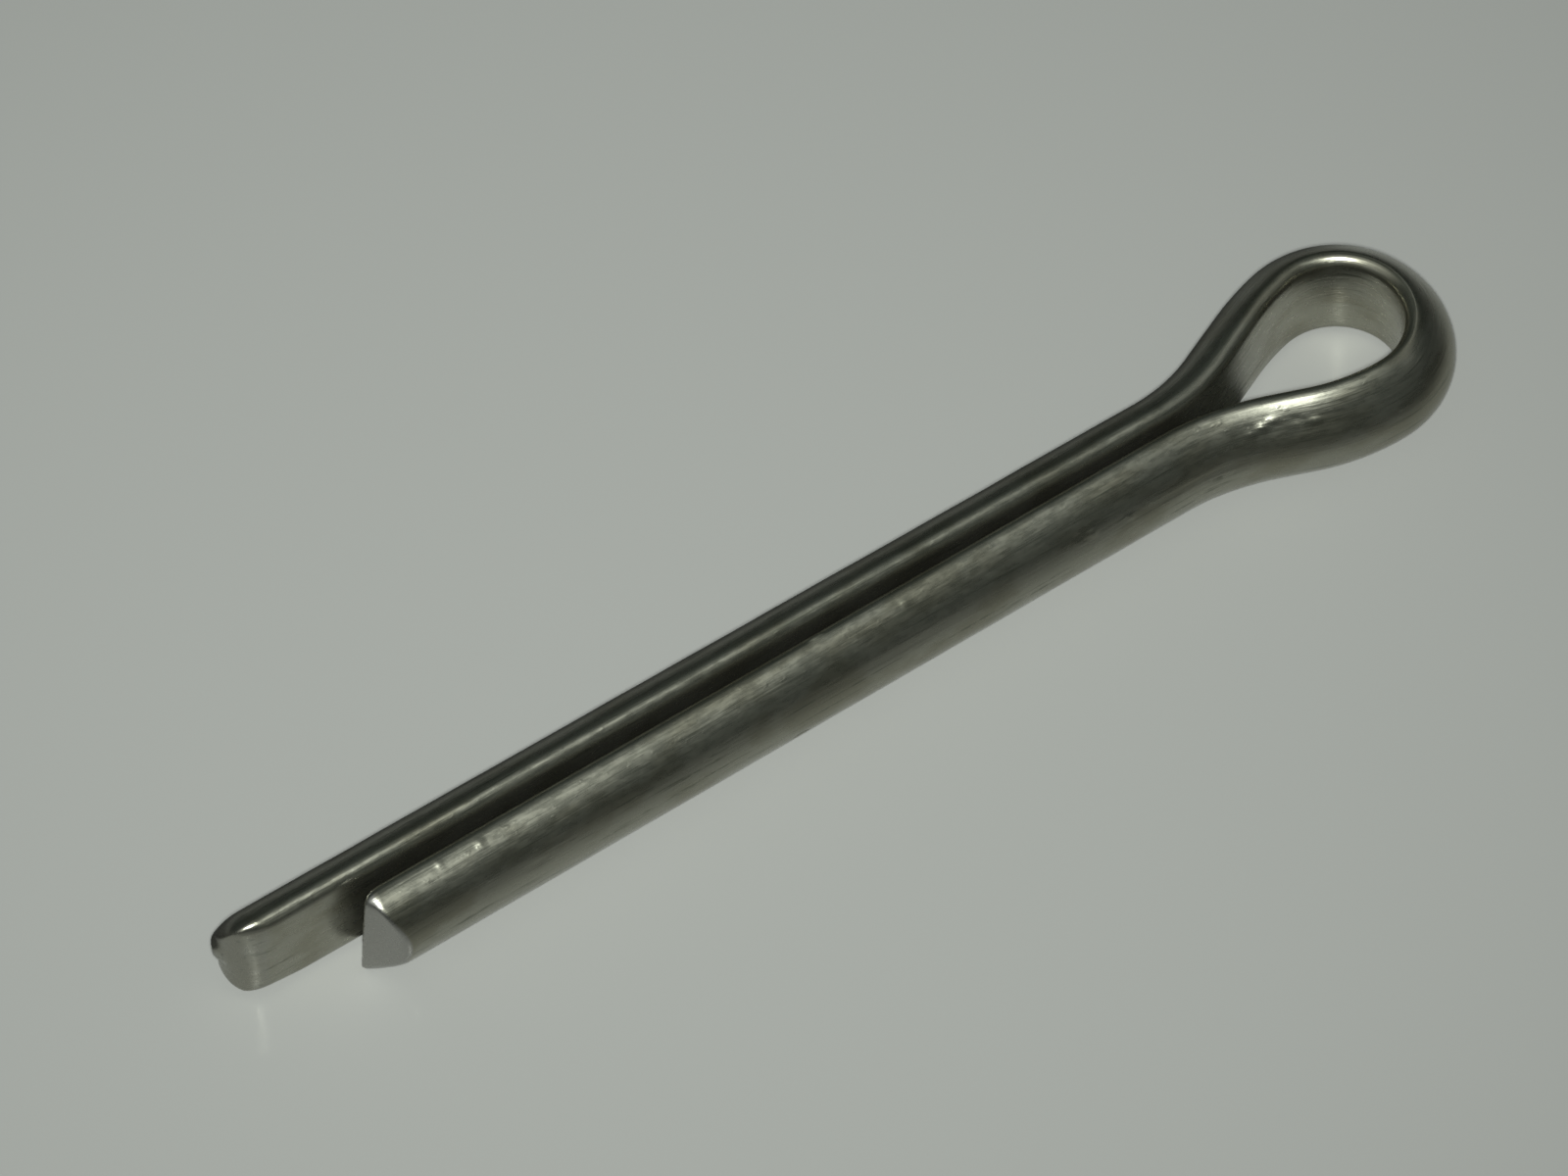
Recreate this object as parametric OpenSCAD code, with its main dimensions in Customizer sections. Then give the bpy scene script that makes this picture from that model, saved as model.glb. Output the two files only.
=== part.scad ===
// Split pin (cotter pin), bent from one length of half-round wire.
//
// The wire runs from the tip of the near leg, along that leg, round the eye
// and back along the far leg. The far leg is left longer, so that a tool can
// catch it and prise the legs apart. The wire's flat face is on the inside all
// the way, and its round back makes the outside of the shank.
//
// The pin lies on a surface at z = 0, along X: the tips point towards -X and
// the eye towards +X. The near leg is on the -Y side. The origin is under the
// middle of the pin's outer box.

/* [Pin] */
// Overall length, from the tip of the long leg to the outside of the eye
overall_length = 43.9; // [34:0.1:80]
// Diameter of the shank, over the round backs of both legs
shank_d = 3.7; // [3:0.1:4.6]
// How far the tip of the far leg reaches past the tip of the near leg
prong_extra = 4.1; // [1:0.1:6]

/* [Wire] */
// Radius of the two corners where the wire's flat face meets its round back
corner_r = 0.35; // [0.1:0.05:0.5]
// Gap between the flat faces where the legs leave the eye
neck_gap = 0.3; // [0.1:0.05:0.5]
// Angle at which each leg leans outwards, towards its tip
leg_splay = 0.17; // [0:0.01:0.3]

/* [Tips] */
// Slant of the near leg's sheared end, which leaves the flat face longest
near_tip_slant = 25; // [0:1:30]
// Angle at which the near leg's sheared end leans back towards its top
near_tip_lean = 8; // [0:1:12]
// Slant of the far leg's sheared end
far_tip_slant = 22; // [0:1:30]
// Radius at which the shear rolled over the near leg's upper corner
near_tip_roll = 0.5; // [0.2:0.1:1.2]
// Radius at which the shear rolled over the far leg's upper corner
far_tip_top_roll = 1.2; // [0.4:0.1:1.4]
// Radius at which the shear rolled over the far leg's lower corner
far_tip_roll = 0.7; // [0.2:0.1:1.2]

/* [Eye] */
// Inside radius of the round end of the eye
eye_r = 1.98; // [1.7:0.02:2.5]
// How far the eye sits off the shank's axis, towards the far leg
eye_shift = 0.22; // [0:0.02:0.4]
// Inside radius of the eye's near flank
near_flank_r = 6.3; // [4:0.1:10]
// Inside radius of the eye's far flank
far_flank_r = 7.7; // [4:0.1:10]
// Angle past the eye's widest point at which the near flank starts
near_flank_start = 0; // [0:1:10]
// Angle past the eye's widest point at which the far flank starts
far_flank_start = 13; // [0:1:15]
// Straight stretch between the near flank and its neck
near_straight = 1.2; // [0.4:0.1:2.5]
// Straight stretch between the far flank and its neck
far_straight = 1.9; // [0.4:0.1:2.5]
// Radius of the neck, where the near leg bends into the eye
near_neck_r = 9.5; // [6:0.1:12]
// Radius of the neck, where the far leg bends into the eye
far_neck_r = 7.6; // [6:0.1:12]

/* [Hidden] */
$fn = 128;
// Longer than any cut has to be
ample = 20;
// The flanks and necks are drawn this much thinner all round than the
// rest of the wire, and reach this far into it, so that each piece joins the
// next inside it and not along its skin
inset = 0.01;
lap = 0.1;

// --- The path that the wire's flat face follows ---

// Which side of the pin a leg is on, as the sign of its Y
NEAR = -1;
FAR = 1;

function flank_r(side) = side == NEAR ? near_flank_r : far_flank_r;
function flank_start(side) = side == NEAR ? near_flank_start : far_flank_start;
function flank_straight(side) = side == NEAR ? near_straight : far_straight;
function neck_r(side) = side == NEAR ? near_neck_r : far_neck_r;

// How far the middle of the flank's arc is from the shank's axis, outwards
function flank_middle(side) =
    side * eye_shift - (flank_r(side) - eye_r) * cos(flank_start(side));

// The slope of the straight stretch between flank and neck. It is the angle
// at which the neck's bend, starting beside the other leg, meets the flank
function flank_slope(side) =
    let (bends = flank_r(side) + neck_r(side))
    let (rise = neck_gap / 2 + neck_r(side) * cos(leg_splay) - flank_middle(side))
    acos(rise / norm([bends, flank_straight(side)])) - atan2(flank_straight(side), bends);

// How far the neck's lower end is from the middle of the eye, along X
function eye_reach(side) =
    (flank_r(side) + neck_r(side)) * sin(flank_slope(side))
    + flank_straight(side) * cos(flank_slope(side))
    + neck_r(side) * sin(leg_splay)
    - (flank_r(side) - eye_r) * sin(flank_start(side));

// --- The wire's section ---

back_r = shank_d / 2;
// The short leg is about this long: its eye and neck take up the rest
short_leg = overall_length - prong_extra - 4 * shank_d;
// Halfway along the short leg the two backs share one axis, the shank's. This
// is how far a flat face lies from it there
flat_offset = neck_gap / 2 + short_leg / 2 * tan(leg_splay);
wire_depth = back_r - flat_offset;
// How far up and down the centres of the rounded corners are
corner_z = sqrt(pow(back_r - corner_r, 2) - pow(corner_r + flat_offset, 2));
half_height = corner_z + corner_r;

// --- Places along X ---

eye_x = overall_length / 2 - eye_r - wire_depth;
far_tip_x = -overall_length / 2;
near_tip_x = far_tip_x + prong_extra;

function tip_x(side) = side == NEAR ? near_tip_x : far_tip_x;
function leg_length(side) = (eye_x - eye_reach(side) - tip_x(side)) / cos(leg_splay);

// --- Section and bends. Each starts at the origin, runs along X with its
//     round back towards +Y, and carries its children to its far end ---

// The D of the wire, drawn smaller by less all round. Its flat face is on
// x = less, its round back is towards +X, and each rounded corner runs into
// the back over a narrow land, on which the pin can lie
module section(less) {
    intersection() {
        translate([-flat_offset, 0])
            circle(r = back_r - less);
        union() {
            translate([less, -corner_z])
                square([ample, 2 * corner_z]);
            for (end = [0, 1])
                mirror([0, end])
                    translate([corner_r, corner_z]) {
                        circle(r = corner_r - less);
                        square([ample, corner_r - less]);
                    }
        }
    }
}

module straight(length) {
    rotate([90, 0, 90])
        linear_extrude(length)
            section(0);
    translate([length, 0, 0])
        children();
}

// A bend towards the flat face, as on the flanks of the eye
module bend_in(r, angle) {
    reach = lap / r * 180 / PI;
    translate([0, -r, 0]) {
        rotate([0, 0, 90 - angle - reach])
            rotate_extrude(angle = angle + 2 * reach)
                translate([r, 0])
                    section(inset);
        rotate([0, 0, -angle])
            translate([0, r, 0])
                children();
    }
}

// A bend towards the round back, as at the neck
module bend_out(r, angle) {
    reach = lap / r * 180 / PI;
    translate([0, r, 0]) {
        rotate([0, 0, -90 - reach])
            rotate_extrude(angle = angle + 2 * reach)
                translate([r, 0])
                    mirror([1, 0])
                        section(inset);
        rotate([0, 0, angle])
            translate([0, -r, 0])
                children();
    }
}

// --- The legs ---

// What is missing where the shear rolled over an upper corner at the origin,
// seen from the side
module rolled_off(r) {
    translate([-r, -r])
        difference() {
            square(ample);
            circle(r = r);
        }
}

// A straight leg that ends in a sheared tip, rolled over at its upper corner
// and, where low_roll is above 0, at its lower one
module leg(length, slant, lean, top_roll, low_roll) {
    upper_end = length - 2 * half_height * tan(lean);
    difference() {
        straight(length);
        // The shear passes through the lower end of the flat face
        translate([length, 0, -half_height])
            rotate([0, -lean, slant])
                translate([0, -ample / 2, -ample / 2])
                    cube(ample);
        rotate([90, 0, 0])
            translate([upper_end, half_height, -ample / 2])
                linear_extrude(ample)
                    rolled_off(top_roll);
        if (low_roll > 0)
            rotate([90, 0, 0])
                translate([length, -half_height, -ample / 2])
                    linear_extrude(ample)
                        mirror([0, 1])
                            rolled_off(low_roll);
    }
}

// --- The pin, with the middle of its eye at the origin ---

module eye_end() {
    rotate([0, 0, -90 - near_flank_start])
        rotate_extrude(angle = 180 + near_flank_start + far_flank_start)
            translate([eye_r, 0])
                section(0);
}

// One side of the pin, from the flank of the eye to the tip, drawn with the
// leg towards -Y
module half(side) {
    slope = flank_slope(side);
    start = flank_start(side);
    rotate([0, 0, -start])
        translate([0, -eye_r, 0])
            rotate([0, 0, 180])
                bend_in(flank_r(side), slope - start)
                    straight(flank_straight(side))
                        bend_out(neck_r(side), slope + leg_splay)
                            if (side == NEAR)
                                leg(leg_length(side), near_tip_slant, near_tip_lean, near_tip_roll, 0);
                            else
                                leg(leg_length(side), far_tip_slant, 0, far_tip_top_roll, far_tip_roll);
}

module pin() {
    color("#7d8079")
        translate([eye_x, 0, half_height]) {
            eye_end();
            half(NEAR);
            mirror([0, 1, 0])
                half(FAR);
        }
}

pin();
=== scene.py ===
# %% [markdown]
# # A split pin, bent from half-round wire
#
# This lesson models one small piece of hardware: a split pin, lying on a
# pale, slightly glossy surface. The real pin starts as straight wire with a
# D-shaped section. A machine folds the wire round a former to make the eye,
# presses the two legs together flat to flat, and shears the ends off.
#
# So the model is made the same way: one section, carried along one path,
# and then sheared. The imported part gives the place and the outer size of
# everything.

import math

import bmesh
import bpy
from mathutils import Matrix, Vector
from mathutils.noise import noise as noise_at


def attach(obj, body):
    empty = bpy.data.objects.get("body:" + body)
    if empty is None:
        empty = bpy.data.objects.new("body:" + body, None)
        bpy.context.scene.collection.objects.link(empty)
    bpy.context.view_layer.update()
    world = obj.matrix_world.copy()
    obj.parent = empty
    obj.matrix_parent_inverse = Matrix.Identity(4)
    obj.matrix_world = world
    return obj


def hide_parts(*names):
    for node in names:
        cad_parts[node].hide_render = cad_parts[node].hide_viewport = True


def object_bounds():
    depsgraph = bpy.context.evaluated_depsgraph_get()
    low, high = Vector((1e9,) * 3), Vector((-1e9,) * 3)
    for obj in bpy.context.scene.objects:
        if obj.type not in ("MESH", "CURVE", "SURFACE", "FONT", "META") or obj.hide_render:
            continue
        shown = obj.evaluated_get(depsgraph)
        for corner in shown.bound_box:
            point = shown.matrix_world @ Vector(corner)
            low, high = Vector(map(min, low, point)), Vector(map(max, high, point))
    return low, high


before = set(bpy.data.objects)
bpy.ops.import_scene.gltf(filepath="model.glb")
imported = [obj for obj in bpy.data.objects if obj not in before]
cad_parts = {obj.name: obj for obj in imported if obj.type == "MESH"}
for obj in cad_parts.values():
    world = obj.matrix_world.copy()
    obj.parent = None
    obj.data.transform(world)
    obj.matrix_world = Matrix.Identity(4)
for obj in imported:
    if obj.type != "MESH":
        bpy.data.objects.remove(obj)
cad_box = [list(corner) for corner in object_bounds()]
print("the part's box, in metres:", cad_box)

# %% [markdown]
# ## Millimetres first, metres last
#
# Many mesh operators have a merge distance of a tenth of a millimetre or so
# when they are left alone. On a pin this small that is a whole face, so the
# pin is drawn with one unit to the millimetre, and scaled to metres when it
# is finished.
#
# The sizes below are the wire's own. The overall size and the height come
# from the frame, so the pin fills the same box as the part.

# %% The sizes of the wire and of its bends, in millimetres
MM = 0.001
low, high = [Vector(corner) / MM for corner in cad_box]
overall_length = high.x - low.x
half_height = (high.z - low.z) / 2

shank_d = 3.7
prong_extra = 4.1
corner_r = 0.35
neck_gap = 0.3
leg_splay = math.radians(0.17)
eye_r = 1.98
eye_shift = 0.22

NEAR, FAR = -1, 1
flank_r = {NEAR: 6.3, FAR: 7.7}
flank_start = {NEAR: 0.0, FAR: math.radians(13)}
flank_straight = {NEAR: 1.2, FAR: 1.9}
neck_r = {NEAR: 9.5, FAR: 7.6}

back_r = shank_d / 2
short_leg = overall_length - prong_extra - 4 * shank_d
flat_offset = neck_gap / 2 + short_leg / 2 * math.tan(leg_splay)
wire_depth = back_r - flat_offset
eye_x = high.x - eye_r - wire_depth
tip_x = {NEAR: low.x + prong_extra, FAR: low.x}
print(f"wire {wire_depth:.2f} mm deep and {2 * half_height:.2f} mm high, eye at x = {eye_x:.2f}")


# %% How steeply each side of the eye runs, and where its neck ends
def flank_slope(side):
    """The slope of the straight stretch between the flank and the neck."""
    bends = flank_r[side] + neck_r[side]
    flank_middle = side * eye_shift - (flank_r[side] - eye_r) * math.cos(flank_start[side])
    rise = neck_gap / 2 + neck_r[side] * math.cos(leg_splay) - flank_middle
    reach = math.hypot(bends, flank_straight[side])
    return math.acos(rise / reach) - math.atan2(flank_straight[side], bends)


def eye_reach(side):
    """How far the end of the neck is from the middle of the eye, along X."""
    slope = flank_slope(side)
    return (
        (flank_r[side] + neck_r[side]) * math.sin(slope)
        + flank_straight[side] * math.cos(slope)
        + neck_r[side] * math.sin(leg_splay)
        - (flank_r[side] - eye_r) * math.sin(flank_start[side])
    )


for side, name in ((NEAR, "near"), (FAR, "far")):
    print(f"{name} flank slopes {math.degrees(flank_slope(side)):.1f} degrees")

# %% [markdown]
# ## The section
#
# The section could be drawn point by point. It is quicker and truer to start
# from a filled circle, the size of the shank, and to cut it as the wire was
# rolled: one cut makes the flat face, and two more make the narrow lands at
# the top and the bottom. Bevelling the two corner points rounds them.


# %% Small helpers for edit mode
TOUCH = 1e-3


def select_points(test):
    """Selects the points that pass a test, and counts them."""
    bpy.ops.mesh.select_mode(type="VERT")
    bpy.ops.mesh.select_all(action="DESELECT")
    mesh = bmesh.from_edit_mesh(bpy.context.object.data)
    for point in mesh.verts:
        point.select = test(point.co)
    mesh.select_flush(True)
    bmesh.update_edit_mesh(bpy.context.object.data)
    return sum(point.select for point in mesh.verts)


def cut(point, normal):
    """Cuts off everything on the side that the normal points to."""
    bpy.ops.mesh.select_all(action="SELECT")
    bpy.ops.mesh.bisect(plane_co=point, plane_no=normal, clear_outer=True, threshold=1e-5)


# %% Draw the section at the near leg's tip
BACK_POINTS = 112
CORNER_STEPS = 8
FLAT_CUTS = 23
SHORTEST = 0.04

near_leg = (eye_x - eye_reach(NEAR) - tip_x[NEAR]) / math.cos(leg_splay)
far_leg = (eye_x - eye_reach(FAR) - tip_x[FAR]) / math.cos(leg_splay)
heading = leg_splay
forward = Vector((math.cos(heading), math.sin(heading), 0))
outward = Vector((math.sin(heading), -math.cos(heading), 0))
near_neck_end = Vector((eye_x - eye_reach(NEAR), -eye_shift - neck_gap / 2, half_height))
place = near_neck_end - forward * near_leg

bpy.ops.object.select_all(action="DESELECT")
bpy.ops.mesh.primitive_circle_add(
    vertices=BACK_POINTS,
    radius=back_r,
    fill_type="NGON",
    location=place - outward * flat_offset,
    rotation=(0, math.pi / 2, heading),
)
pin = bpy.context.object
pin.name = "split_pin"
bpy.ops.object.transform_apply(location=True, rotation=True)
bpy.ops.object.mode_set(mode="EDIT")
cut(place, -outward)
cut((0, 0, 2 * half_height), (0, 0, 1))
cut((0, 0, 0), (0, 0, -1))
corners = select_points(
    lambda point: abs((point - place).dot(outward)) < TOUCH
    and abs(abs(point.z - half_height) - half_height) < TOUCH
)
bpy.ops.mesh.bevel(affect="VERTICES", offset=corner_r, segments=CORNER_STEPS, profile=0.5)
select_points(
    lambda point: abs((point - place).dot(outward)) < TOUCH
    and abs(point.z - half_height) < half_height - corner_r + TOUCH
)
bpy.ops.mesh.subdivide(number_cuts=FLAT_CUTS)
bpy.ops.mesh.select_all(action="SELECT")
bpy.ops.mesh.remove_doubles(threshold=SHORTEST)
section_points = len(bmesh.from_edit_mesh(pin.data).verts)
print(f"the section has {corners} rounded corners and {section_points} points")

# %% [markdown]
# ## Bending the wire
#
# A curve with a bevel profile would also follow this path, but its profile
# can twist and its points bunch up on the inside of a bend. Extrude and spin
# keep the flat face upright and give evenly spaced rings, and each bend is
# the arc that the former gave it.
#
# The end face stays selected from one step to the next, so the wire grows
# from it like wire fed into the machine. A left-hand bend is positive.

# %% Feed and bend
BEND_STEP = 0.13
wire_runs = []


def feed(length, pieces=1):
    """Runs the wire straight on, in a number of equal pieces."""
    global place
    run = {"kind": "straight", "start": place.copy(), "heading": heading, "length": length}
    wire_runs.append(run)
    step = Vector((math.cos(heading), math.sin(heading), 0)) * (length / pieces)
    for _ in range(pieces):
        bpy.ops.mesh.extrude_region_move(TRANSFORM_OT_translate={"value": step})
        place += step


def bend(radius, turn):
    """Bends the wire round a former on its left (turn > 0) or on its right."""
    global place, heading
    left = Vector((-math.sin(heading), math.cos(heading), 0))
    centre = place + left * math.copysign(radius, turn)
    run = {
        "kind": "bend", "start": place.copy(), "heading": heading,
        "centre": centre, "radius": radius, "turn": turn, "length": radius * abs(turn),
    }
    wire_runs.append(run)
    outside = radius + (wire_depth if turn > 0 else 0)
    steps = max(4, round(outside * abs(turn) / BEND_STEP))
    bpy.ops.mesh.spin(
        steps=steps, angle=-turn, center=centre, axis=(0, 0, 1), use_auto_merge=False
    )
    place = centre + Matrix.Rotation(turn, 3, "Z") @ (place - centre)
    heading += turn


LEG_PIECE = 10.0
near_slope, far_slope = flank_slope(NEAR), flank_slope(FAR)

feed(near_leg, pieces=math.ceil(near_leg / LEG_PIECE))
bend(neck_r[NEAR], -(near_slope + leg_splay))
feed(flank_straight[NEAR], pieces=round(flank_straight[NEAR] / BEND_STEP))
bend(flank_r[NEAR], near_slope - flank_start[NEAR])
bend(eye_r, math.pi + flank_start[NEAR] + flank_start[FAR])
bend(flank_r[FAR], far_slope - flank_start[FAR])
feed(flank_straight[FAR], pieces=round(flank_straight[FAR] / BEND_STEP))
bend(neck_r[FAR], -(far_slope + leg_splay))
feed(far_leg, pieces=math.ceil(far_leg / LEG_PIECE))
print("the wire ends at", [round(value, 3) for value in place], "mm")
print("faces so far:", len(bmesh.from_edit_mesh(pin.data).faces))

# %% [markdown]
# ## Laying the wire out straight again
#
# Everything drawn along the wire, its sheared ends, its dents and its grain,
# is easiest to place on straight wire: so far along from the near tip, so
# deep from the flat face, and so high. The runs above were written down as
# they were made, so each point of the bent wire can be sent back to its
# place on the straight wire, and from there to the bent wire again.

# %% From the bent wire to the straight wire and back
total = 0.0
for run in wire_runs:
    run["from"] = total
    total += run["length"]
wire_length = total


def straighten(point):
    """Where a point of the bent wire was on the straight wire."""
    best = None
    for number, run in enumerate(wire_runs):
        left = Vector((-math.sin(run["heading"]), math.cos(run["heading"]), 0))
        ahead = Vector((math.cos(run["heading"]), math.sin(run["heading"]), 0))
        if run["kind"] == "straight":
            offset = point - run["start"]
            along, depth = offset.dot(ahead), -offset.dot(left)
        else:
            spoke = point - run["centre"]
            first = run["start"] - run["centre"]
            angle = math.atan2(
                first.x * spoke.y - first.y * spoke.x, first.x * spoke.x + first.y * spoke.y
            )
            side = math.copysign(1, run["turn"])
            if side * angle < -math.pi / 2:
                angle += side * 2 * math.pi
            along = side * angle * run["radius"]
            depth = side * (math.hypot(spoke.x, spoke.y) - run["radius"])
        before = 0 if number == 0 else max(0, -along)
        after = 0 if number == len(wire_runs) - 1 else max(0, along - run["length"])
        miss = before + after + max(0, -depth) + max(0, depth - wire_depth)
        if best is None or miss < best[0]:
            best = (miss, Vector((run["from"] + along, depth, point.z - half_height)))
    return best[1]


def bend_back(straight):
    """Where a point of the straight wire is on the bent wire."""
    run = next(
        (run for run in wire_runs if straight.x < run["from"] + run["length"]), wire_runs[-1]
    )
    along = straight.x - run["from"]
    if run["kind"] == "straight":
        ahead = Vector((math.cos(run["heading"]), math.sin(run["heading"]), 0))
        right = Vector((math.sin(run["heading"]), -math.cos(run["heading"]), 0))
        spot = run["start"] + ahead * along + right * straight.y
    else:
        side = math.copysign(1, run["turn"])
        first = (run["start"] - run["centre"]).normalized()
        turned = Matrix.Rotation(side * along / run["radius"], 3, "Z") @ first
        spot = run["centre"] + turned * (run["radius"] + side * straight.y)
    return Vector((spot.x, spot.y, straight.z + half_height))


print(f"the straight wire is {wire_length:.1f} mm long")

# %% [markdown]
# ## More rings along the legs
#
# The bends already have a ring every eighth of a millimetre or so. The legs
# have only a few long faces, which would be enough for smooth wire, but the
# dents and the sheared ends need points to move. Subdividing only the edges
# that run along the wire adds rings without touching the section.

# %% Subdivide the long edges
RING_STEP = 0.11

bpy.ops.mesh.select_mode(type="EDGE")
bpy.ops.mesh.select_all(action="DESELECT")
mesh = bmesh.from_edit_mesh(pin.data)
long_edges = [edge for edge in mesh.edges if edge.calc_length() > 1.5]
piece_length = max(edge.calc_length() for edge in long_edges)
for edge in long_edges:
    edge.select = True
mesh.select_flush_mode()
bmesh.update_edit_mesh(pin.data)
bpy.ops.mesh.subdivide(number_cuts=math.ceil(piece_length / RING_STEP) - 1)
print("faces after the cuts:", len(bmesh.from_edit_mesh(pin.data).faces))

# %% [markdown]
# ## The sheared ends
#
# A shear pushes on one side of the wire before it cuts, so the end is not a
# flat disc: one edge is drawn over into a long soft curve, the rest breaks off
# at a slant, and the legs keep that shape. The rim is made first, on a square
# end, by insets that follow a quarter circle. Rings of ever smaller copies
# then fill the face, so that it has points of its own, and last of all every
# point near the end is slid back along the wire by as much as the shear
# drew it back.

# %% Round the rims of the square ends
RIM_R = 0.08
RIM_STEPS = 4
FACE_SHARES = (
    0.975, 0.95, 0.92, 0.89, 0.85, 0.81, 0.76, 0.71, 0.65, 0.58, 0.50, 0.40, 0.28, 0.14
)


def end_cap(end):
    """Selects the flat cap at one end of the wire."""
    bpy.ops.mesh.select_mode(type="FACE")
    bpy.ops.mesh.select_all(action="DESELECT")
    mesh = bmesh.from_edit_mesh(bpy.context.object.data)
    caps = [face for face in mesh.faces if len(face.verts) == section_points]
    cap = (min if end == NEAR else max)(caps, key=lambda face: face.calc_center_median().y)
    cap.select = True
    mesh.faces.active = cap
    bmesh.update_edit_mesh(bpy.context.object.data)
    return cap.calc_center_median()


for end in (NEAR, FAR):
    axis = Vector((math.cos(leg_splay), -end * math.sin(leg_splay), 0))
    middle = end_cap(end)
    bpy.ops.transform.translate(value=axis * RIM_R)
    reached_in = reached_out = 0.0
    for step in range(1, RIM_STEPS + 1):
        turn = math.pi / 2 * step / RIM_STEPS
        into, out = RIM_R * (1 - math.cos(turn)), RIM_R * math.sin(turn)
        bpy.ops.mesh.inset(thickness=into - reached_in, depth=out - reached_out)
        reached_in, reached_out = into, out
    last_share = 1.0
    for share in FACE_SHARES:
        bpy.ops.mesh.extrude_region_move()
        bpy.ops.transform.resize(value=(share / last_share,) * 3, center_override=middle)
        last_share = share
    bpy.ops.mesh.poke()
print("faces with the ends:", len(bmesh.from_edit_mesh(pin.data).faces))
bpy.ops.object.mode_set(mode="OBJECT")

# %% How far back the shear drew each place on an end
FADE = 4.5


def smooth_step(value, start, end):
    """0 before start, 1 after end, and a soft curve in between."""
    share = min(1, max(0, (value - start) / (end - start)))
    return share * share * (3 - 2 * share)


def drawn_over(inward, width, reach):
    """How far back an edge was drawn, inward from it, by a curve this wide and this long."""
    share = min(1, max(0, 1 - inward / width))
    return reach * (1 - math.sqrt(1 - share * share))


def from_outline(depth, z):
    """How far in from the wire's outline a place on its section is."""
    across, up = corner_r - depth, abs(z - half_height) - (half_height - corner_r)
    corner = math.hypot(max(0, across), max(0, up)) + min(0, max(across, up)) - corner_r
    back = math.hypot(depth + flat_offset, z - half_height) - back_r
    return max(0, -max(corner, back))


# The numbers below are millimetres on the section: depth goes from the flat
# face to the round back, and z from the underside up.
def near_end(depth, z):
    """The near end: a slant towards the back, with the flat face's edge drawn over."""
    inward = from_outline(depth, z)
    nose = -0.25 + 0.11 * (z - 0.5) * (1 - smooth_step(depth, 0.5, 1.5))
    slant = 0.86 * max(0, depth - 0.45)
    top = smooth_step(z, 1.8, 3.2) * (1 - smooth_step(depth, 0.3, 0.9))
    low = 1 - smooth_step(z, 0.3, 1.0)
    edge = drawn_over(inward, 0.15 + 0.28 * top + 0.25 * low, 0.08 + 0.36 * top + 0.3 * low)
    return nose + slant + math.hypot(drawn_over(depth, 0.6, 0.75), edge)


def far_end(depth, z):
    """The far end: its flat side drawn well over, and a small burr left half way up."""
    inward = from_outline(depth, z)
    nose = 0.25 + 0.3 * (max(0, depth - 1.1) / 0.56) ** 2
    burr = -0.16 * smooth_step(z, 1.35, 1.65) * (1 - smooth_step(z, 1.9, 2.3))
    top, low = smooth_step(z, 1.9, 2.9), 1 - smooth_step(z, 0.3, 1.0)
    edge = drawn_over(inward, 0.2 + 0.4 * top, 0.1 + 0.75 * top + 0.05 * low)
    burr *= smooth_step(depth, 0.5, 1.2)
    return nose + burr + math.hypot(drawn_over(depth, 1.1, 1.15), edge)


# %% Slide the ends back, and lift the underside of the far one
LIFT = 0.25
SHEARED = "sheared"
NEAR_BARE, FAR_BARE = 1.0, 0.35
cut_faces = pin.data.attributes.new(SHEARED, "FLOAT", "POINT")

for vertex in pin.data.vertices:
    spot = straighten(vertex.co)
    from_far_end = wire_length - spot.x
    if min(spot.x, from_far_end) < RIM_R / 2:
        cut_faces.data[vertex.index].value = NEAR_BARE if spot.x < FADE else FAR_BARE
    if spot.x < FADE:
        back = near_end(spot.y, spot.z + half_height)
        spot.x += back * (1 - smooth_step(spot.x, 0, FADE))
        vertex.co = bend_back(spot)
    elif from_far_end < FADE:
        back = far_end(spot.y, spot.z + half_height)
        spot.x -= back * (1 - smooth_step(from_far_end, 0, FADE))
        underside = 1 - smooth_step(spot.z + half_height, 0, 1.4)
        spot.z += LIFT * underside * (1 - smooth_step(wire_length - spot.x, 0.6, 2.6))
        vertex.co = bend_back(spot)
print("the near end starts", round(min(v.co.x for v in pin.data.vertices if v.co.y < 0), 2))

# %% [markdown]
# ## What the machine and the box did to it
#
# A split pin is never as true as its drawing. The former squeezes the inside
# of the eye, so the wire stands a little higher there and thinner outside.
# The jaws that close the legs leave a soft facet along the near one, deeper
# towards the eye, and they roll the inner corners rounder than the die made
# them. Loose in a box with hundreds of others, the pin picks up small knocks,
# whose raised rims catch the light.

# %% How much the section was squeezed, and where the facet runs
# FACETS holds places along the near leg, each with the facet's depth there.
ROLLED = 0.04
SQUEEZE_UP, SQUEEZE_THIN, SQUEEZE_UNDER = 0.05, 0.13, 0.05
FACET_ANGLE = 52
FACETS = ((2, 0.02), (6, 0.05), (15, 0.09), (26, 0.11), (33, 0.16), (38, 0.10), (42, 0.0))
WOBBLE = 0.009

bends = [run for run in wire_runs if run["kind"] == "bend"]
eye_run = next(run for run in bends if run["radius"] == eye_r)
eye_start, eye_stop = eye_run["from"], eye_run["from"] + eye_run["length"]
bends_start, bends_stop = (run["from"] + run["length"] / 2 for run in (bends[0], bends[-1]))
print(f"the eye is bent from {eye_start:.1f} to {eye_stop:.1f} mm along the wire")


def between(steps, value):
    """Follows a few (place, amount) steps with soft curves between them."""
    for (start, first), (end, second) in zip(steps, steps[1:]):
        if value < end:
            return first + (second - first) * smooth_step(value, start, end)
    return steps[-1][1]


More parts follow.
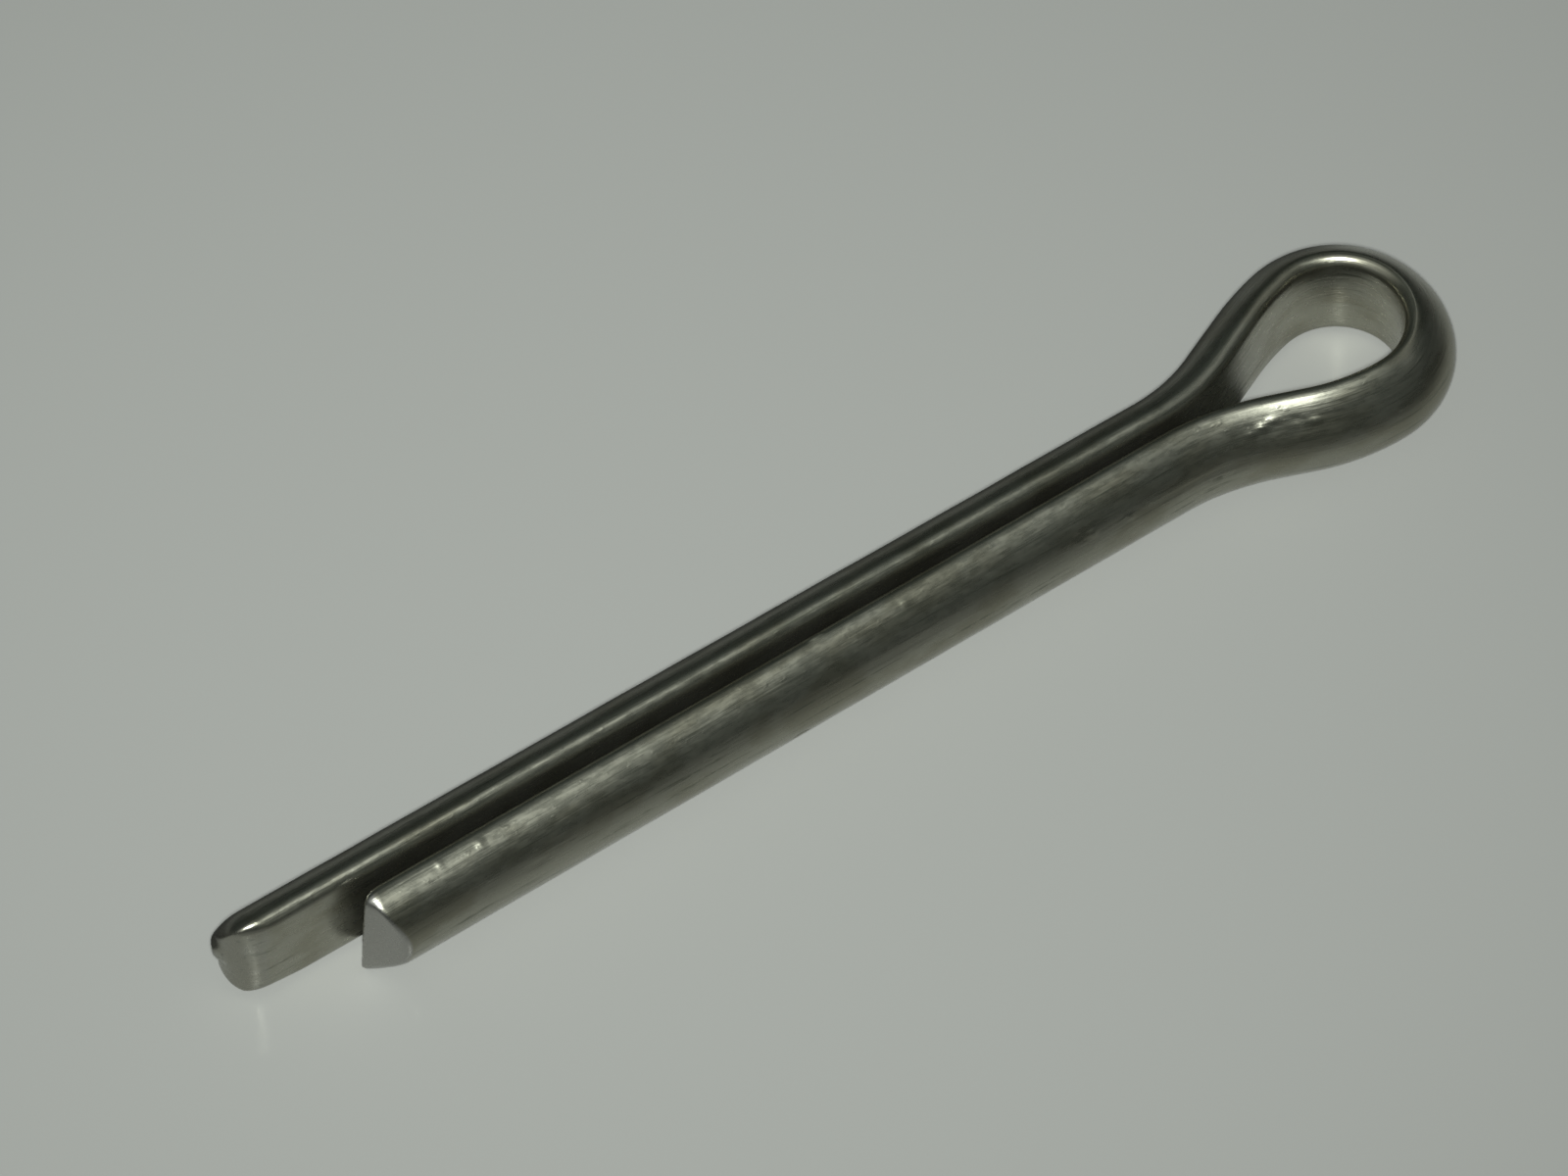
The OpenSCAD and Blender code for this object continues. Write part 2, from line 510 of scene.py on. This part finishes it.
def squeezed(spot):
    """Rounds the inner corners, and squeezes the section where the wire is bent."""
    corner = smooth_step(abs(spot.z), 1.0, half_height) * (1 - smooth_step(spot.y, 0.05, 0.42))
    spot.y += ROLLED * corner
    spot.z -= math.copysign(ROLLED * corner, spot.z)
    bent = smooth_step(spot.x, bends_start, eye_start)
    bent *= 1 - smooth_step(spot.x, eye_stop, bends_stop)
    outside = smooth_step(spot.y, 0, wire_depth)
    if spot.z > 0:
        spot.z *= 1 + bent * (SQUEEZE_UP - SQUEEZE_THIN * outside)
    else:
        spot.z *= 1 - bent * SQUEEZE_UNDER * outside


# %% The knocks
# Each row says how far along the wire a knock is, at what angle from straight
# up, its half length and half width, and its height. Below zero it is a dent.
KNOCKS = (
    (2.6, 24, 0.15, 0.12, 0.045),
    (4.0, 27, 0.14, 0.12, 0.065),
    (6.2, 62, 0.90, 0.07, -0.030),
    (5.4, 74, 0.70, 0.06, -0.020),
    (11.5, 66, 3.50, 0.06, -0.014),
    (14.8, 112, 0.50, 0.16, -0.060),
    (15.4, 2, 0.15, 0.12, 0.035),
    (16.2, 14, 0.40, 0.16, 0.075),
    (18.5, 71, 3.00, 0.06, -0.014),
    (19.2, 30, 0.15, 0.12, 0.035),
    (21.5, 50, 0.80, 0.07, -0.020),
    (25.1, 60, 0.18, 0.14, -0.045),
    (25.6, 65, 0.24, 0.14, 0.065),
    (27.0, 71, 0.16, 0.12, 0.050),
    (29.5, 74, 3.50, 0.07, -0.020),
    (31.9, 47, 0.22, 0.13, 0.045),
    (32.3, 43, 0.24, 0.15, 0.065),
    (32.7, 38, 0.30, 0.12, 0.045),
    (33.4, 41, 0.20, 0.12, -0.030),
    (34.0, 46, 0.25, 0.14, 0.040),
)
dents = sum(knock[-1] < 0 for knock in KNOCKS)
print(f"{len(KNOCKS)} knocks, {dents} of them dents")


def raised(along, angle):
    """How far the back stands out (or in) at an angle round the wire."""
    facet = -between(FACETS, along)
    facet *= smooth_step(angle, 8, FACET_ANGLE) * (1 - smooth_step(angle, FACET_ANGLE, 112))
    wave = noise_at(Vector((along / 1.7, angle / 28, 0.5))) * smooth_step(angle, 5, 30)
    total = facet + WOBBLE * wave * (1 - smooth_step(angle, 130, 160))
    for middle, turn, half_length, half_width, height in KNOCKS:
        if abs(along - middle) < half_length:
            across = math.radians(angle - turn) * back_r / half_width
            reach = math.hypot((along - middle) / half_length, across)
            total += height * (1 - smooth_step(reach, 0, 1))
    return total


# %% Move every point by what happened there
for vertex in pin.data.vertices:
    spot = straighten(vertex.co)
    rise, out = spot.z, spot.y + flat_offset
    angle = math.degrees(math.atan2(out, rise))
    squeezed(spot)
    if 0 < spot.y:
        push = raised(spot.x, angle) * smooth_step(spot.y, 0, 0.3)
        spot.y += push * math.sin(math.radians(angle))
        spot.z += push * math.cos(math.radians(angle))
    vertex.co = bend_back(spot)
print("the highest point is now at", round(max(v.co.z for v in pin.data.vertices), 3), "mm")

# %% [markdown]
# ## Remembering the straight wire
#
# The grain of drawn wire runs along it, round every bend. A pattern on plain
# object coordinates would run straight through the eye instead. So each
# point keeps its place on the straight wire as an attribute, and the
# material reads that.

# %% Write the place on the straight wire, and the wire's direction, to each point
PLACE = "straight_wire"
HEADING = "wire_heading"


def heading_at(along):
    """The direction in which the wire runs, so far along it."""
    run = next((run for run in wire_runs if along < run["from"] + run["length"]), wire_runs[-1])
    share = min(1, max(0, (along - run["from"]) / run["length"]))
    angle = run["heading"] + run.get("turn", 0) * share
    return Vector((math.cos(angle), math.sin(angle), 0))


places = pin.data.attributes.new(PLACE, "FLOAT_VECTOR", "POINT")
headings = pin.data.attributes.new(HEADING, "FLOAT_VECTOR", "POINT")
for vertex, item, direction in zip(pin.data.vertices, places.data, headings.data):
    item.vector = straighten(vertex.co)
    direction.vector = heading_at(item.vector.x)
print("each point knows its place on", round(wire_length, 1), "mm of straight wire")

# %% Finish the mesh: metres, normals and smooth shading
bpy.ops.object.select_all(action="DESELECT")
pin.select_set(True)
bpy.context.view_layer.objects.active = pin
bpy.ops.object.mode_set(mode="EDIT")
bpy.ops.mesh.select_all(action="SELECT")
bpy.ops.mesh.remove_doubles(threshold=1e-4)
bpy.ops.mesh.normals_make_consistent(inside=False)
bpy.ops.object.mode_set(mode="OBJECT")
bpy.ops.transform.resize(value=(MM, MM, MM), center_override=(0, 0, 0))
bpy.ops.object.transform_apply(location=True, rotation=True, scale=True)
bpy.ops.object.shade_smooth()
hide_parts("pin")
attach(pin, "root")
print("the pin has", len(pin.data.polygons), "faces")

# %% [markdown]
# ## Bright drawn steel
#
# The wire is bare steel, drawn through a die: fine lines along it, a mottle
# of small bright and dull grains, darker grooves, and a thin warm film of
# oxide in patches. An image would need to be unwrapped round the eye. Noise
# on the straight wire's own places needs no unwrapping, and stretching it
# along the wire turns grains into drawn lines.
#
# The pattern is one node group that puts out plain masks. The material turns
# them into colour, gloss and relief, so another wire could use the same
# group with its own amounts.


# %% Helpers for materials
def connect(tree, value, socket):
    """Links a socket, or sets a plain value."""
    if isinstance(value, bpy.types.NodeSocket):
        tree.links.new(value, socket)
    else:
        socket.default_value = value


def maths(tree, operation, first, second=0.0, third=None):
    """One step of arithmetic on sockets and plain numbers."""
    node = tree.nodes.new("ShaderNodeMath")
    node.operation = operation
    connect(tree, first, node.inputs[0])
    connect(tree, second, node.inputs[1])
    if third is not None:
        connect(tree, third, node.inputs[2])
    return node.outputs[0]


def ramp(tree, value, start, end, low_value=0.0, high_value=1.0):
    """Maps start..end to low..high with soft ends."""
    node = tree.nodes.new("ShaderNodeMapRange")
    node.interpolation_type = "SMOOTHSTEP"
    for name, number in (
        ("From Min", start), ("From Max", end), ("To Min", low_value), ("To Max", high_value)
    ):
        node.inputs[name].default_value = number
    tree.links.new(value, node.inputs["Value"])
    return node.outputs["Result"]


def blend_colours(tree, share, first, second):
    """The first colour, turning into the second as the share goes up."""
    node = tree.nodes.new("ShaderNodeMix")
    node.data_type = "RGBA"
    connect(tree, share, node.inputs[0])
    connect(tree, first, node.inputs[6])
    connect(tree, second, node.inputs[7])
    return node.outputs[2]


def noise(tree, place, scale, stretch=1.0, detail=2.0, roughness=0.5, offset=0.0):
    """Noise of so many grains to a millimetre, stretched along the wire."""
    mapping = tree.nodes.new("ShaderNodeMapping")
    mapping.inputs["Scale"].default_value = (scale / stretch, scale, scale)
    mapping.inputs["Location"].default_value = (offset, offset, offset)
    tree.links.new(place, mapping.inputs["Vector"])
    node = tree.nodes.new("ShaderNodeTexNoise")
    node.inputs["Scale"].default_value = 1.0
    node.inputs["Detail"].default_value = detail
    node.inputs["Roughness"].default_value = roughness
    tree.links.new(mapping.outputs[0], node.inputs["Vector"])
    return node.outputs["Fac"]


# %% The grain as a node group
grain = bpy.data.node_groups.new("drawn_steel_grain", "ShaderNodeTree")
grain.interface.new_socket("Place", in_out="INPUT", socket_type="NodeSocketVector")
for name in ("Lines", "Grooves", "Mottle", "Patches", "Pits"):
    grain.interface.new_socket(name, in_out="OUTPUT", socket_type="NodeSocketFloat")
group_in = grain.nodes.new("NodeGroupInput")
group_out = grain.nodes.new("NodeGroupOutput")
where = group_in.outputs["Place"]
lines = noise(grain, where, scale=14, stretch=30, detail=3, roughness=0.6)
mottle = noise(grain, where, scale=5.5, stretch=3.2, detail=4, roughness=0.62, offset=11)
patches = noise(grain, where, scale=0.9, stretch=2, detail=3, offset=23)
pits = ramp(grain, noise(grain, where, scale=4, stretch=1.5, detail=2, offset=31), 0.60, 0.80)
grooves = noise(grain, where, scale=7, stretch=28, detail=2, roughness=0.6, offset=43)
grooves = ramp(grain, grooves, 0.56, 0.70)
grooves = maths(grain, "MULTIPLY", grooves, ramp(grain, mottle, 0.35, 0.6))
for name, value in (
    ("Lines", lines), ("Grooves", grooves), ("Mottle", mottle),
    ("Patches", patches), ("Pits", pits),
):
    grain.links.new(value, group_out.inputs[name])
print("the grain gives", [socket.name for socket in group_out.inputs if socket.name])


# %% The drawn wire's material
def steel_material(
    name, bright, dull, groove, fresh, smooth, rough, line_height, mottle_height, pit_height
):
    """Bare steel from the grain group, with its own colours, gloss and relief."""
    material = bpy.data.materials.new(name)
    material.use_nodes = True
    tree = material.node_tree
    tree.nodes.clear()
    output = tree.nodes.new("ShaderNodeOutputMaterial")
    shader = tree.nodes.new("ShaderNodeBsdfPrincipled")
    tree.links.new(shader.outputs["BSDF"], output.inputs["Surface"])
    shader.inputs["Metallic"].default_value = 0.95
    shader.inputs["Anisotropic"].default_value = 0.38
    direction = tree.nodes.new("ShaderNodeAttribute")
    direction.attribute_name = HEADING
    tree.links.new(direction.outputs["Vector"], shader.inputs["Tangent"])
    place_node = tree.nodes.new("ShaderNodeAttribute")
    place_node.attribute_name = PLACE
    grains = tree.nodes.new("ShaderNodeGroup")
    grains.node_tree = grain
    tree.links.new(place_node.outputs["Vector"], grains.inputs["Place"])
    film = ramp(tree, grains.outputs["Patches"], 0.42, 0.62)
    colour = blend_colours(tree, film, (*bright, 1), (*dull, 1))
    colour = blend_colours(tree, grains.outputs["Grooves"], colour, (*groove, 1))
    cut_face = tree.nodes.new("ShaderNodeAttribute")
    cut_face.attribute_name = SHEARED
    colour = blend_colours(tree, cut_face.outputs["Fac"], colour, (*fresh, 1))
    tree.links.new(colour, shader.inputs["Base Color"])
    gloss = ramp(tree, grains.outputs["Mottle"], 0.35, 0.65, smooth, rough)
    tree.links.new(gloss, shader.inputs["Roughness"])
    height = maths(tree, "MULTIPLY", grains.outputs["Lines"], line_height)
    height = maths(tree, "MULTIPLY_ADD", grains.outputs["Mottle"], mottle_height, height)
    height = maths(tree, "MULTIPLY_ADD", grains.outputs["Pits"], pit_height, height)
    bump = tree.nodes.new("ShaderNodeBump")
    bump.inputs["Strength"].default_value = 1.0
    bump.inputs["Distance"].default_value = MM
    tree.links.new(height, bump.inputs["Height"])
    tree.links.new(bump.outputs["Normal"], shader.inputs["Normal"])
    return material


wire_steel = steel_material(
    "drawn_steel", bright=(0.315, 0.312, 0.265), dull=(0.258, 0.251, 0.202),
    groove=(0.165, 0.17, 0.138), fresh=(0.325, 0.322, 0.305),
    smooth=0.26, rough=0.32, line_height=0.005, mottle_height=0.0046, pit_height=0.003,
)
pin.data.materials.clear()
pin.data.materials.append(wire_steel)
print("materials:", [slot.name for slot in pin.data.materials])

# %% [markdown]
# ## The surface it lies on
#
# The pin lies on a smooth pale grey card with hardly any shine. Its colour is
# darkened a little with distance, a painted fall-off of the light from one
# small lamp, and far away the card turns into a plain backdrop, so that no edge shows.

# %% The card's colour, darkened outwards by a painted fall-off of light
FLOOR_SIZE = 3.0
CARD_GREY = (0.397, 0.399, 0.397, 1)
CARD_MIDDLE = (0.002, 0.022, 0)
CARD_REACH = 0.1
PAINTED_FALLOFF_MOST = 0.35
PALE_GREY = (0.33, 0.35, 0.34, 1)

bpy.ops.object.select_all(action="DESELECT")
bpy.ops.mesh.primitive_plane_add(size=FLOOR_SIZE, location=(0, 0, 0))
floor = bpy.context.object
floor.name = "floor"

card = bpy.data.materials.new("grey_card")
card.use_nodes = True
tree = card.node_tree
tree.nodes.clear()
output = tree.nodes.new("ShaderNodeOutputMaterial")
shader = tree.nodes.new("ShaderNodeBsdfPrincipled")
shader.inputs["Roughness"].default_value = 0.16
shader.inputs["Specular IOR Level"].default_value = 0.06
position = tree.nodes.new("ShaderNodeTexCoord")
centred = tree.nodes.new("ShaderNodeMapping")
centred.vector_type = "TEXTURE"
centred.inputs["Location"].default_value = CARD_MIDDLE
centred.inputs["Scale"].default_value = (CARD_REACH,) * 3
tree.links.new(position.outputs["Object"], centred.inputs["Vector"])
distance = tree.nodes.new("ShaderNodeVectorMath")
distance.operation = "DOT_PRODUCT"
for socket in distance.inputs[:2]:
    tree.links.new(centred.outputs[0], socket)
from_middle = distance.outputs["Value"]
# painted shade: the card's colour darkens with distance from its middle, standing in for the
# fall-off of the lamp's light
painted_falloff = maths(tree, "MINIMUM", from_middle, PAINTED_FALLOFF_MOST)
colour = blend_colours(tree, painted_falloff, CARD_GREY, (0, 0, 0, 1))
tree.links.new(colour, shader.inputs["Base Color"])
print("the floor is", FLOOR_SIZE, "m across")

# %% The backdrop far away
backdrop = tree.nodes.new("ShaderNodeEmission")
backdrop.inputs["Color"].default_value = PALE_GREY
seen = tree.nodes.new("ShaderNodeLightPath")
away = ramp(tree, from_middle, 0.5, 3.0)
share = maths(tree, "MULTIPLY", away, seen.outputs["Is Camera Ray"])
mix = tree.nodes.new("ShaderNodeMixShader")
tree.links.new(share, mix.inputs[0])
tree.links.new(shader.outputs["BSDF"], mix.inputs[1])
tree.links.new(backdrop.outputs[0], mix.inputs[2])
print("the backdrop is", PALE_GREY[:3])

# %% [markdown]
# ## What the metal sees of the card
#
# Smooth steel has almost no look of its own: it shows the room. Dark things
# round a small card would give the wire black bands. Black boards stood round
# the pin could do the same here, but they would also stand in other views. So
# a shade is painted on the card that only glossy rays see: behind the pin,
# further out in front of it, and well past the eye. This painted shade is what
# gives the wire its dark bands. Everything else still sees the pale card.

# %% Paint shade on the card, seen only by glossy rays
PAINTED_SHADE_MOST = 0.88
IN_FRONT = 0.55
PAST_EYE = 0.8
SLANT = -0.6

spread = tree.nodes.new("ShaderNodeSeparateXYZ")
tree.links.new(position.outputs["Object"], spread.inputs[0])
along_x, along_y = spread.outputs["X"], spread.outputs["Y"]

far_side = ramp(tree, along_y, 1.5 * MM, 3.5 * MM)
fading = ramp(tree, along_y, 4.5 * MM, 16 * MM, 1, 0.35)
far_side = maths(tree, "MULTIPLY", far_side, fading)
slanting = maths(tree, "MULTIPLY_ADD", along_y, SLANT, along_x)
before_eye = ramp(tree, slanting, 17 * MM, 21 * MM, 1, 0)
far_side = maths(tree, "MULTIPLY", far_side, before_eye)

bulge = ramp(tree, along_x, 10 * MM, 17 * MM, 0.0, 3.0 * MM)
from_wire = maths(tree, "ADD", along_y, bulge)
near_side = ramp(tree, from_wire, -1.8 * MM, -8 * MM, 0.0, IN_FRONT)
past_eye = ramp(tree, along_x, 28 * MM, 34 * MM, 0.0, PAST_EYE)

# painted shade: the card turns darker only in reflections, behind the pin, in front of it and
# past the eye, which paints the wire's black bands
shaded = maths(tree, "MAXIMUM", far_side, near_side)
shaded = maths(tree, "MAXIMUM", shaded, past_eye)
shaded = maths(tree, "MULTIPLY", shaded, seen.outputs["Is Glossy Ray"])
shaded = maths(tree, "MULTIPLY", shaded, PAINTED_SHADE_MOST)
painted_black = tree.nodes.new("ShaderNodeEmission")
painted_black.inputs["Strength"].default_value = 0.0
painted_shade_mix = tree.nodes.new("ShaderNodeMixShader")
tree.links.new(shaded, painted_shade_mix.inputs[0])
tree.links.new(mix.outputs[0], painted_shade_mix.inputs[1])
tree.links.new(painted_black.outputs[0], painted_shade_mix.inputs[2])
tree.links.new(painted_shade_mix.outputs[0], output.inputs["Surface"])
floor.data.materials.append(card)
print("the card has", len(tree.nodes), "nodes")

# %% [markdown]
# ## The camera
#
# A close look at something this small is taken from a quarter of a metre or
# so away, steeply from above, with a long lens, so the two ends of the pin
# come out nearly the same size. The camera is placed by the way it looks: how
# far it is turned round, how steeply it looks down, and a slight roll.

# %% The camera
CAMERA_TARGET = Vector((0.009, 3.521, -0.100)) * MM
CAMERA_DISTANCE = 268.8 * MM
CAMERA_TURN = math.radians(32.27)
CAMERA_RISE = math.radians(54.1)
CAMERA_ROLL = -0.0442
CAMERA_LENS = 202.5

bpy.ops.object.camera_add()
camera = bpy.context.object
camera.name = "camera"
camera.data.lens = CAMERA_LENS
camera.data.sensor_width = 36
camera.data.clip_start = 0.01
looking = Vector(
    (
        math.cos(CAMERA_RISE) * math.sin(CAMERA_TURN),
        math.cos(CAMERA_RISE) * math.cos(CAMERA_TURN),
        -math.sin(CAMERA_RISE),
    )
)
camera.location = CAMERA_TARGET - looking * CAMERA_DISTANCE
level = looking.to_track_quat("-Z", "Y")
camera.rotation_mode = "QUATERNION"
camera.rotation_quaternion = level @ Matrix.Rotation(CAMERA_ROLL, 3, "Z").to_quaternion()
bpy.context.scene.camera = camera
print("the camera is at", [round(value / MM, 1) for value in camera.location], "mm")

# %% [markdown]
# ## The light and the room
#
# One small round lamp sits just behind the camera, which casts no shadow of
# its own. It lights the card evenly, leaves hardly a shadow beside the pin,
# and draws one thin highlight along each leg. A wide softbox would turn those
# highlights into broad bands.
#
# The room is dim, so that most of the wire stays dark. Two faint panels
# overhead, which only glossy rays meet, keep the back of the pin from
# sinking into black when it is seen from the other side. The camera itself
# sees a plain pale wall.

# %% The lamp
LAMP_WIDTH = 18 * MM
LAMP_BEHIND_LENS = 10 * MM
LAMP_POWER = 0.9
LAMP_COLOUR = (1.0, 1.04, 0.97)

bpy.ops.object.light_add(type="AREA", location=camera.location - looking * LAMP_BEHIND_LENS)
lamp = bpy.context.object
lamp.name = "softbox"
lamp.data.shape = "DISK"
lamp.data.size = LAMP_WIDTH
lamp.data.energy = LAMP_POWER
lamp.data.color = LAMP_COLOUR
lamp.rotation_mode = "QUATERNION"
lamp.rotation_quaternion = looking.to_track_quat("-Z", "Y")
print("the lamp is", round(LAMP_WIDTH / MM), "mm wide")

# %% The room and its two panels
ROOM_LOW = (0.012, 0.018, 0.016, 1)
ROOM_HIGH = (0.058, 0.074, 0.068, 1)
PANEL_GREY = (0.45, 0.47, 0.45, 1)

room = bpy.data.worlds.new("room")
bpy.context.scene.world = room
room.use_nodes = True
tree = room.node_tree
tree.nodes.clear()
output = tree.nodes.new("ShaderNodeOutputWorld")
pale = tree.nodes.new("ShaderNodeBackground")
pale.inputs["Color"].default_value = PALE_GREY
seen = tree.nodes.new("ShaderNodeLightPath")
dim = tree.nodes.new("ShaderNodeBackground")
direction = tree.nodes.new("ShaderNodeSeparateXYZ")
towards = tree.nodes.new("ShaderNodeTexCoord")
tree.links.new(towards.outputs["Generated"], direction.inputs[0])
sideways, backwards, upwards = (direction.outputs[axis] for axis in "XYZ")

height = ramp(tree, upwards, 0.0, 1.0)
dusk = blend_colours(tree, height, ROOM_LOW, ROOM_HIGH)
left = ramp(tree, sideways, 0.22, -0.05)
left = maths(tree, "MULTIPLY", left, ramp(tree, backwards, 0.45, 0.20))
right = ramp(tree, sideways, 0.48, 0.60)
right = maths(tree, "MULTIPLY", right, ramp(tree, sideways, 0.78, 0.71))
right = maths(tree, "MULTIPLY", right, ramp(tree, backwards, 0.65, 0.45))
panels = maths(tree, "MAXIMUM", left, right)
panels = maths(tree, "MULTIPLY", panels, ramp(tree, backwards, -0.75, -0.50))
panels = maths(tree, "MULTIPLY", panels, ramp(tree, upwards, 0.20, 0.45))
panels = maths(tree, "MULTIPLY", panels, seen.outputs["Is Glossy Ray"])
glow = blend_colours(tree, panels, dusk, PANEL_GREY)
tree.links.new(glow, dim.inputs["Color"])
mix = tree.nodes.new("ShaderNodeMixShader")
tree.links.new(seen.outputs["Is Camera Ray"], mix.inputs[0])
tree.links.new(dim.outputs[0], mix.inputs[1])
tree.links.new(pale.outputs[0], mix.inputs[2])
tree.links.new(mix.outputs[0], output.inputs["Surface"])
print("the room has", len(tree.nodes), "nodes")

# %% Settings and the last line
bpy.context.scene.view_settings.view_transform = "Standard"
bpy.context.view_layer.update()
